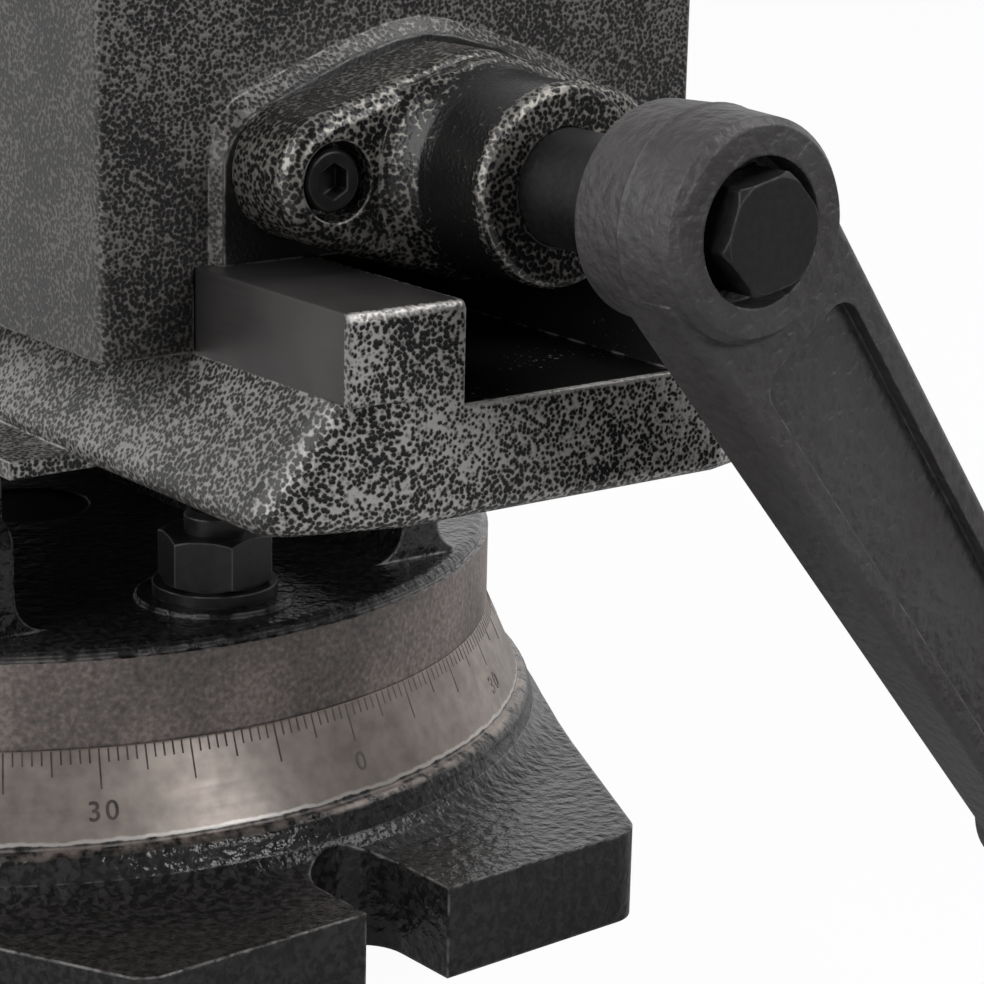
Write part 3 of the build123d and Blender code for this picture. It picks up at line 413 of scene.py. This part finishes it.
# %% Castings, oxide, steel and bronze
def metal(name, dark, light, metallic, rough, grain_mm, depth_mm, wear, bare=0.5, along=(1.0, 1.0, 1.0)):
    """A metal whose colour drifts between two tones, with grain and rubbed edges."""
    material, tree, place = new_tree(name)
    stretched = add(tree, "Mapping", {"Vector": place, "Scale": along})
    cloud = add(tree, "TexNoise", {"Vector": place, "Scale": per_blob(7.0), "Detail": 3.0})
    fine = add(tree, "TexNoise", {"Vector": stretched, "Scale": per_blob(grain_mm), "Detail": 2.5})
    rubbed, softened = worn_edges(tree, place, 0.5, 2.0, bare)
    blend = add(tree, "Mix", {"Factor": 0.5, 2: cloud, 3: fine}, data_type="FLOAT")
    tone = add(tree, "ValToRGB", {0: blend}, stops=[(0.4, dark), (0.6, light)])
    colour = add(tree, "Mix", {"Factor": rubbed, 6: tone, 7: wear}, out=2, data_type="RGBA")
    roughness = add(tree, "Math", {0: fine, 1: 0.14, 2: rough}, operation="MULTIPLY_ADD")
    grained = add(tree, "Bump", {"Distance": depth_mm * MM, "Height": fine, "Normal": softened})
    shader = add(tree, "BsdfPrincipled", {"Base Color": colour, "Roughness": roughness,
                                          "Metallic": metallic, "Normal": grained})
    add(tree, "OutputMaterial", {0: shader})
    return material


# %% One finish for each kind of smaller piece
cast_crank = metal("sand_cast_iron_oxide", "#444142", "#4e4c4c", 0.0, 0.38, 1.0, 0.55, "#7a7775", 0.54)
black_oxide = metal("black_oxide_steel", "#111111", "#1c1c1c", 0.0, 0.28, 1.2, 0.015, "#5a5856")
turned_screw = metal("turned_screw_steel", "#131213", "#1f1e1f", 0.2, 0.42, 0.5, 0.05, "#5a5856")
# Painted shade: the plated steel is given a nearly black colour, for the nuts in the shade under the bed.
shaded_plated_steel = metal("dull_plated_steel_shaded", "#2c2c2c", "#3a3939", 0.5, 0.36, 1.0, 0.012, "#8c8a88", 0.4)
ground_steel = metal("ground_jaw_steel", "#77736f", "#89847f", 0.9, 0.3, 0.25, 0.01, "#a8a4a0", 0.5,
                     (0.03, 1.0, 1.0))
turned_bronze = metal("turned_bronze", "#6f5a35", "#85703f", 0.9, 0.35, 0.4, 0.01, "#b09a68")
grip_plastic = metal("moulded_grip_plastic", "#161616", "#1d1d1d", 0.0, 0.42, 0.5, 0.02, "#2a2a2a")

print("materials so far:", len(bpy.data.materials))

# %% Every piece gets its finish
finishes = {
    "vise_body": paint_body_lit, "movable_jaw": paint_jaw_shaded, "screw_bracket": paint_bracket_shaded,
    "swivel_base": paint_base, "turntable": paint_table, "crank": cast_crank,
    "crank_grip": grip_plastic, "grip_spindle": black_oxide, "lead_screw": turned_screw,
    "fixed_jaw_plate": ground_steel, "movable_jaw_plate": ground_steel, "jaw_keeper": ground_steel,
    "screw_nut": turned_bronze, "thrust_washers": turned_bronze, "centre_pivot": turned_screw,
}
screws = ("bracket_screws", "fixed_plate_screws", "movable_plate_screws", "screw_nut_bolts",
          "jaw_keeper_screws")
for name, piece in nodes.items():
    piece.data.materials.clear()
    piece.data.materials.append(finishes.get(name, black_oxide if name in screws else shaded_plated_steel))
print("finished parts:", len(nodes))

# %% [markdown]
# ## The degree scale
# The cone carries a scale of one degree lines, longer at every five and ten degrees, with a
# number at every thirty. On the real base they are stamped. Each line here is a thin bar laid
# along the cone's slope and turned about the swivel axis; all bars go into one mesh. The numbers
# are text, made a mesh, and laid on the slope in the same way. The ink is worn on the right.

# %% Where the scale lies, and its ink
CONE_TOP = Vector((RING_RADIUS, 0.0, CONE_TOP_Z))
SLOPE = (Vector((CONE_RADIUS, 0.0, CONE_FOOT_Z)) - CONE_TOP).normalized()
OUT = Vector((-SLOPE.z, 0.0, SLOPE.x))
ZERO = -90 + 9.25           # bearing of the zero line, in degrees from +X
ENGRAVED = 0.04 * MM        # how far the ink stands on the metal
LINE_WIDTH = 0.26 * MM
LINE_LENGTHS = {10: 6.3 * MM, 5: 4.0 * MM, 1: 2.2 * MM}    # for every tenth, fifth and single degree
LINE_GAP = 0.1 * MM         # from the cone's top edge to the lines
HALF_SCALE = 90             # degrees from the zero line to each end of a scale
NUMBER_STEP = 30
NUMBER_HEIGHT = 4.4 * MM
NUMBER_WEIGHT = 0.04 * MM   # makes the strokes this much wider on each side
NUMBER_SPACING = 1.25       # distance between digits, as a share of the font's own
NUMBER_DOWN = 9.9 * MM      # from the cone's top to the middle of a number


def stamp(bearing):
    """Places what is drawn flat (X across, Y up the slope, Z outwards) at the top of the cone."""
    axes = Matrix((Vector((0, 1, 0)), -SLOPE, OUT)).transposed().to_4x4()
    return Matrix.Rotation(math.radians(bearing), 4, "Z") @ Matrix.Translation(CONE_TOP) @ axes


def dress(mesh, name, body):
    """Makes an object of a mesh and says what it rides on."""
    made = bpy.data.objects.new(name, mesh)
    bpy.context.scene.collection.objects.link(made)
    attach(made, body)
    return made


stamped, tree, place = new_tree("stamped_scale_ink")
fade = add(tree, "TexNoise", {"Vector": place, "Scale": per_blob(1.5), "Detail": 3.0})
ink = add(tree, "ValToRGB", {0: fade}, stops=[(0.35, "#38322f"), (0.65, "#5d5551")])
across = add(tree, "SeparateXYZ", {0: place})
rubbed = add(tree, "MapRange", {"Value": across, 1: -12 * MM, 2: 22 * MM, 4: 0.95})
ink = add(tree, "Mix", {"Factor": rubbed, 6: ink, 7: "#857d79"}, out=2, data_type="RGBA")
shader = add(tree, "BsdfPrincipled", {"Base Color": ink, "Roughness": 0.6})
add(tree, "OutputMaterial", {0: shader})

# %% Scale lines
lines = bmesh.new()
for degree in range(-HALF_SCALE, HALF_SCALE + 1):
    step = 10 if degree % 10 == 0 else 5 if degree % 5 == 0 else 1
    length = LINE_LENGTHS[step]
    bar = Matrix.Diagonal((LINE_WIDTH, length, 2 * ENGRAVED, 1.0))
    move = Matrix.Translation((0, -length / 2 - LINE_GAP, 0))
    for half_turn in (0, 180):
        bmesh.ops.create_cube(lines, size=1.0, matrix=stamp(ZERO + degree + half_turn) @ move @ bar)
scale_mesh = bpy.data.meshes.new("scale_lines")
lines.to_mesh(scale_mesh)
lines.free()
scale_mesh.materials.append(stamped)
dress(scale_mesh, "scale_lines", "base")
print("scale lines:", len(scale_mesh.polygons) // 6)

# %% Scale numbers
numbers = bmesh.new()
for degree in range(-HALF_SCALE, HALF_SCALE + 1, NUMBER_STEP):
    for half_turn in (0, 180):
        text = bpy.data.curves.new("number", "FONT")
        text.body = str(abs(degree))
        text.size = NUMBER_HEIGHT
        text.align_x = "CENTER"
        text.align_y = "CENTER"
        text.space_character = NUMBER_SPACING
        text.extrude = ENGRAVED
        text.offset = NUMBER_WEIGHT
        maker = bpy.data.objects.new("number", text)
        bpy.context.scene.collection.objects.link(maker)
        bpy.context.view_layer.update()
        flat = bpy.data.meshes.new_from_object(maker)
        flat.transform(stamp(ZERO + degree + half_turn) @ Matrix.Translation((0, -NUMBER_DOWN, 0)))
        numbers.from_mesh(flat)
        bpy.data.objects.remove(maker)
number_mesh = bpy.data.meshes.new("scale_numbers")
numbers.to_mesh(number_mesh)
numbers.free()
number_mesh.materials.append(stamped)
dress(number_mesh, "scale_numbers", "base")
print("faces in the numbers:", len(number_mesh.polygons))

# %% [markdown]
# ## Studio
# The vise stands on white paper in a room that is bright behind it and dark behind the camera.
# The camera sees the paper as plain white with a faint shadow. Polished surfaces see it fade
# towards the camera, as it does in the real room, which keeps the fronts dark, and the ceiling
# that they see is dark too. Everything else is lit by three soft lamps: a large one on the left,
# a small one in front on the right and a weak one overhead.

# %% Studio floor
GLOW = 0.96                 # share of plain white in what the camera sees of the paper
FADE_FROM = -0.15           # Y at which the paper starts to fade in a reflection, in metres
FADE_TO = -0.72             # Y from which it is dark
FLOOR_HALF = 6.0            # from the middle of the floor to its edge, in metres
paper, tree, place = new_tree("white_paper")
camera_ray = add(tree, "LightPath")
glossy_ray = camera_ray.node.outputs["Is Glossy Ray"]
clear_ray = camera_ray.node.outputs["Is Transmission Ray"]
straight = add(tree, "Math", {0: camera_ray, 1: clear_ray}, operation="MAXIMUM")
away = add(tree, "SeparateXYZ", {0: place}, out=1)
mirrored = add(tree, "MapRange", {"Value": away, 1: FADE_FROM, 2: FADE_TO, 3: 0.75, 4: 0.08})
flat = add(tree, "VectorMath", {0: place}, out="Value", operation="LENGTH")
# Painted shadow: close to the vise, the paper that polished surfaces see is made darker.
painted_paper_shadow = add(tree, "MapRange", {"Value": flat, 1: 0.12, 2: 0.32, 3: 0.35, 4: 1.0})
mirrored = add(tree, "Math", {0: mirrored, 1: painted_paper_shadow}, operation="MULTIPLY")
bright = add(tree, "Math", {0: glossy_ray, 1: mirrored}, operation="MULTIPLY")
bright = add(tree, "Math", {0: bright, 1: straight}, operation="MAXIMUM")
share = add(tree, "Math", {0: straight, 1: GLOW}, operation="MULTIPLY")
share = add(tree, "Math", {0: share, 1: glossy_ray}, operation="MAXIMUM")
shade = add(tree, "Mix", {"Factor": straight, 6: "#6a6a6a", 7: "#f2f2f2"}, out=2, data_type="RGBA")
diffuse = add(tree, "BsdfDiffuse", {"Color": shade})
glow = add(tree, "Emission", {"Strength": bright})
add(tree, "OutputMaterial", {0: add(tree, "MixShader", {0: share, 1: diffuse, 2: glow})})

floor_mesh = bpy.data.meshes.new("studio_floor")
sweep = bmesh.new()
bmesh.ops.create_grid(sweep, x_segments=1, y_segments=1, size=FLOOR_HALF)
sweep.to_mesh(floor_mesh)
sweep.free()
floor_mesh.materials.append(paper)
floor = bpy.data.objects.new("studio_floor", floor_mesh)
bpy.context.scene.collection.objects.link(floor)

# %% Sky of the studio
scene = bpy.context.scene
scene.view_settings.view_transform = "Standard"
world = bpy.data.worlds.new("studio_room")
scene.world = world
world.use_nodes = True
tree = world.node_tree
tree.nodes.clear()
camera_ray = add(tree, "LightPath")
glossy_ray = camera_ray.node.outputs["Is Glossy Ray"]
clear_ray = camera_ray.node.outputs["Is Transmission Ray"]
away = add(tree, "SeparateXYZ", {0: add(tree, "TexCoord", out="Generated")}, out=1)
soft = add(tree, "MapRange", {"Value": away, 1: -0.7, 2: 0.5, 3: 0.13, 4: 0.3})
mirrored = add(tree, "MapRange", {"Value": away, 1: -0.6, 2: 0.3, 3: 0.22, 4: 0.9},
               interpolation_type="SMOOTHSTEP")
ceiling = add(tree, "MapRange", {"Value": away.node.outputs[2], 1: 0.4, 2: 0.65, 3: 1.0, 4: 0.3})
mirrored = add(tree, "Math", {0: mirrored, 1: ceiling}, operation="MULTIPLY")
strength = add(tree, "Mix", {"Factor": glossy_ray, 2: soft, 3: mirrored}, data_type="FLOAT")
straight = add(tree, "Math", {0: camera_ray, 1: clear_ray}, operation="MAXIMUM")
strength = add(tree, "Math", {0: strength, 1: straight}, operation="MAXIMUM")
add(tree, "OutputWorld", {0: add(tree, "Background", {"Color": "#ffffff", "Strength": strength})})
print("studio:", floor.name, world.name)


# %% Lamps
LIT_PLACE = (0, -0.05, 0.1)     # all lamps shine at the middle of the bed


def lamp(name, place, size, power):
    """A square soft lamp of a size in metres and a power in watts."""
    light = bpy.data.lights.new(name, "AREA")
    light.size = size
    light.energy = power
    holder = bpy.data.objects.new(name, light)
    scene.collection.objects.link(holder)
    holder.location = place
    holder.rotation_euler = (Vector(LIT_PLACE) - Vector(place)).to_track_quat("-Z", "Y").to_euler()
    return holder


lamps = [lamp("left_softbox", (-1.25, -0.1, 0.8), 1.4, 14),
         lamp("right_softbox", (0.45, -1.35, 0.65), 0.5, 6),
         lamp("top_softbox", (0.55, -0.35, 1.2), 0.8, 6.5)]
print("lamps:", [made.name for made in lamps])

# %% [markdown]
# ## The camera
# The photograph was taken with a long lens from the front left, a little above the vise. The
# heading, pitch and roll below turn the camera; the picture plane is square.

# %% Camera
HEADING = math.radians(37.794)
PITCH = math.radians(15.459)
ROLL = math.radians(1.321)
CAMERA_PLACE = (-0.24005, -0.44753, 0.19567)
SENSOR_WIDTH = 36.0         # millimetres, as the focal length
FOCAL_LENGTH = 105.83
NEAR_LIMIT = 0.02           # metres
forward = Vector((math.sin(HEADING) * math.cos(PITCH), math.cos(HEADING) * math.cos(PITCH),
                  -math.sin(PITCH)))
level = Vector((math.cos(HEADING), -math.sin(HEADING), 0))
upright = level.cross(forward)
right = level * math.cos(ROLL) + upright * math.sin(ROLL)
up = upright * math.cos(ROLL) - level * math.sin(ROLL)
lens = bpy.data.cameras.new("camera")
lens.sensor_width = SENSOR_WIDTH
lens.lens = FOCAL_LENGTH
lens.clip_start = NEAR_LIMIT
camera = bpy.data.objects.new("camera", lens)
scene.collection.objects.link(camera)
turn = Matrix((right, up, -forward)).transposed().to_4x4()
camera.matrix_world = Matrix.Translation(CAMERA_PLACE) @ turn
scene.camera = camera
print("camera at", CAMERA_PLACE)
